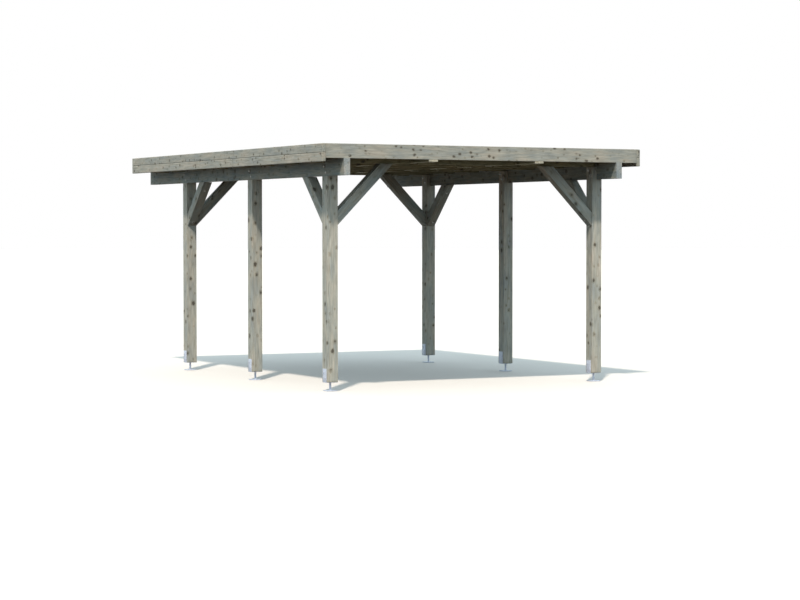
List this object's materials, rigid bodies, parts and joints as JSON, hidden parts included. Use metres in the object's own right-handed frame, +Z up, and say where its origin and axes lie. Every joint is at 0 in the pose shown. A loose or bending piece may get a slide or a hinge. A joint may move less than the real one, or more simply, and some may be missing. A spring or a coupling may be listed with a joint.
{
  "type": "carport",
  "caption": "Open-sided timber carport with a flat roof on braced posts, standing on adjustable steel feet.",
  "frame": {"origin": "on the ground, under the middle of the roof", "axes": "+Z up, +Y from the front, the end with the short roof overhang, to the rear, +X to the right seen from the front"},
  "size_m": [3.62, 5.136, 2.402],
  "materials": {
    "post_wood": "rough-sawn softwood, grey-green impregnated",
    "beam_wood": "planed softwood, grey-green impregnated",
    "brace_wood": "planed softwood, grey-green impregnated",
    "rafter_wood": "sawn softwood, grey-green impregnated",
    "fascia_wood": "planed softwood, grey-green impregnated",
    "deck_wood": "tongued and grooved softwood boards",
    "roof_felt": "mineral-surfaced bitumen felt",
    "galvanised_steel": "hot-dip galvanised"
  },
  "bodies": {
    "root": {"foot_front_left": "galvanised_steel", "foot_middle_left": "galvanised_steel", "foot_rear_left": "galvanised_steel", "foot_front_right": "galvanised_steel", "foot_middle_right": "galvanised_steel", "foot_rear_right": "galvanised_steel", "post_front_left": "post_wood", "post_middle_left": "post_wood", "post_rear_left": "post_wood", "post_front_right": "post_wood", "post_middle_right": "post_wood", "post_rear_right": "post_wood", "beam_left": "beam_wood", "beam_right": "beam_wood", "cross_brace_front_left": "brace_wood", "cross_brace_rear_left": "brace_wood", "cross_brace_front_right": "brace_wood", "cross_brace_rear_right": "brace_wood", "side_brace_front_left": "brace_wood", "side_brace_rear_left": "brace_wood", "side_brace_front_right": "brace_wood", "side_brace_rear_right": "brace_wood", "rafter_1": "rafter_wood", "rafter_2": "rafter_wood", "rafter_3": "rafter_wood", "rafter_4": "rafter_wood", "rafter_5": "rafter_wood", "rafter_6": "rafter_wood", "rafter_7": "rafter_wood", "rafter_8": "rafter_wood", "rafter_9": "rafter_wood", "rafter_10": "rafter_wood", "tie_board_left": "rafter_wood", "tie_board_right": "rafter_wood", "fascia_left_lower": "fascia_wood", "fascia_left_upper": "fascia_wood", "fascia_right_lower": "fascia_wood", "fascia_right_upper": "fascia_wood", "fascia_front": "fascia_wood", "fascia_rear": "fascia_wood", "roof_deck": "deck_wood", "roof_covering": "roof_felt"}
  },
  "joints": []
}
